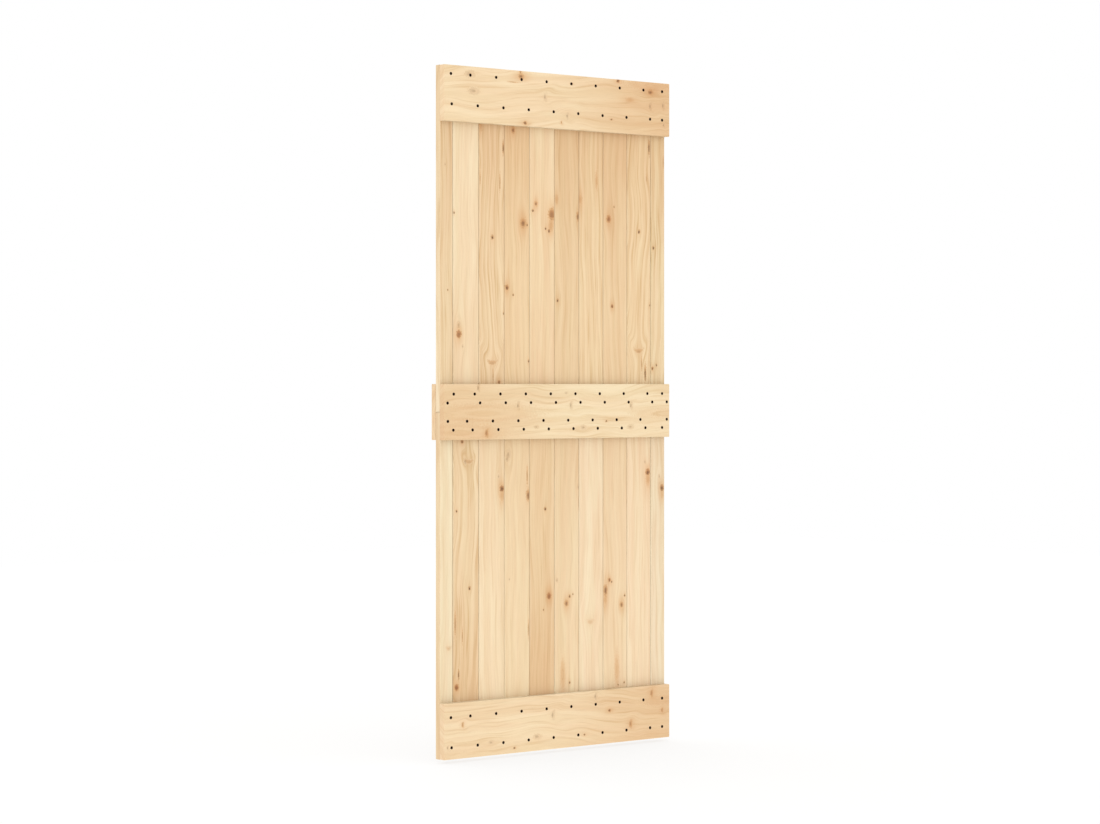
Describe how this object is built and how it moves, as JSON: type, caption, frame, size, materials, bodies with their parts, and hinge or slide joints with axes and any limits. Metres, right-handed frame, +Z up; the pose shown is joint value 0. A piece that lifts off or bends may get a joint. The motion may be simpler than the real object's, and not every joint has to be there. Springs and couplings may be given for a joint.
{
  "type": "boarded sliding door leaf",
  "caption": "Full-height plank door leaf for a sliding track: two stacked panels of tongued and grooved boards screwed to wide flat rails.",
  "frame": {"origin": "on the front face of the top rail, at its middle, where strap hangers are bolted on", "axes": "+Z up, +X to the right as seen from the front, which faces -Y, and +Y into the leaf"},
  "size_m": [0.9, 0.0645, 2.1],
  "materials": {
    "board_pine": "planed and unfinished",
    "rail_pine": "planed and unfinished"
  },
  "bodies": {
    "root": {"upper_board_01": "board_pine", "upper_board_02": "board_pine", "upper_board_03": "board_pine", "upper_board_04": "board_pine", "upper_board_05": "board_pine", "upper_board_06": "board_pine", "upper_board_07": "board_pine", "upper_board_08": "board_pine", "upper_board_09": "board_pine", "upper_board_10": "board_pine", "lower_board_01": "board_pine", "lower_board_02": "board_pine", "lower_board_03": "board_pine", "lower_board_04": "board_pine", "lower_board_05": "board_pine", "lower_board_06": "board_pine", "lower_board_07": "board_pine", "lower_board_08": "board_pine", "lower_board_09": "board_pine", "lower_board_10": "board_pine", "top_rail": "rail_pine", "mid_rail_front": "rail_pine", "mid_rail_back": "rail_pine", "bottom_rail": "rail_pine"}
  },
  "joints": []
}
